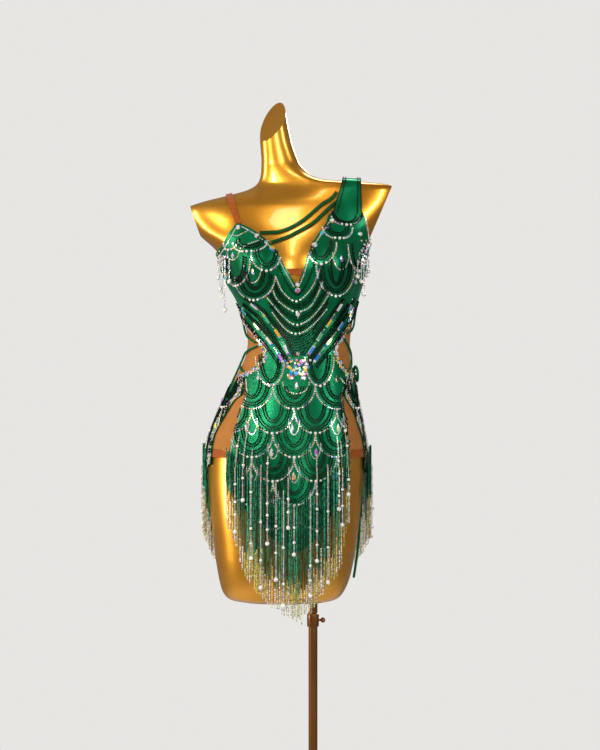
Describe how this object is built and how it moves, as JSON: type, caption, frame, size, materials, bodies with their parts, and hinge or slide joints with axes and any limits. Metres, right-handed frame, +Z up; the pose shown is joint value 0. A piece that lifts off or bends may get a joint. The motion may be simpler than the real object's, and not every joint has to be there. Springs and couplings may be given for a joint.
{
  "type": "salsa dance dress on a limbless dress form",
  "caption": "Short fringed salsa dance dress with an uneven neckline, side cut-outs and slit skirt, worn by a limbless form on a pole and round base.",
  "frame": {"origin": "centre of the round base's underside, on the floor at the pole's axis", "axes": "+Z up the pole, -Y out of the front of the dress, +X towards the wearer's left"},
  "size_m": [0.4052, 0.32, 1.6546],
  "materials": {
    "gold_shell": "glossy metallic gold paint",
    "gold_metal": "polished gold-coloured metal",
    "nude_net": "sheer nude stretch net",
    "nude_elastic": "satin nude elastic",
    "green_satin": "shiny stretch satin under stone work",
    "green_binding": "stretch satin binding",
    "bead_strings": "strings of green beads and crystals",
    "crystal_strings": "strings of crystals and pearls"
  },
  "bodies": {
    "root": {"dress_form": "gold_shell", "stand_base": "gold_metal", "stand_pole": "gold_metal", "stand_knob": "gold_metal", "slip_net": "nude_net", "slip_hem": "nude_elastic", "cup_right": "green_satin", "cup_left": "green_satin", "midriff_front": "green_satin", "back_band": "green_satin", "skirt_front": "green_satin", "skirt_back": "green_satin", "strap_wide": "green_satin", "strap_nude": "nude_elastic", "strap_armhole": "nude_elastic", "bridge_band": "nude_elastic", "chest_cord_upper": "green_binding", "chest_cord_lower": "green_binding", "side_cord_upper_right": "green_binding", "side_cord_lower_right": "green_binding", "hip_cord_right": "green_binding", "side_cord_upper_left": "green_binding", "side_cord_lower_left": "green_binding", "hip_cord_left": "green_binding", "hip_tie_knot": "green_binding", "hip_tie_loop": "green_binding", "hip_tie_tail": "green_binding", "fringe_front": "bead_strings", "fringe_back": "bead_strings", "bust_drops_right": "crystal_strings", "bust_drops_left": "crystal_strings"}
  },
  "joints": []
}
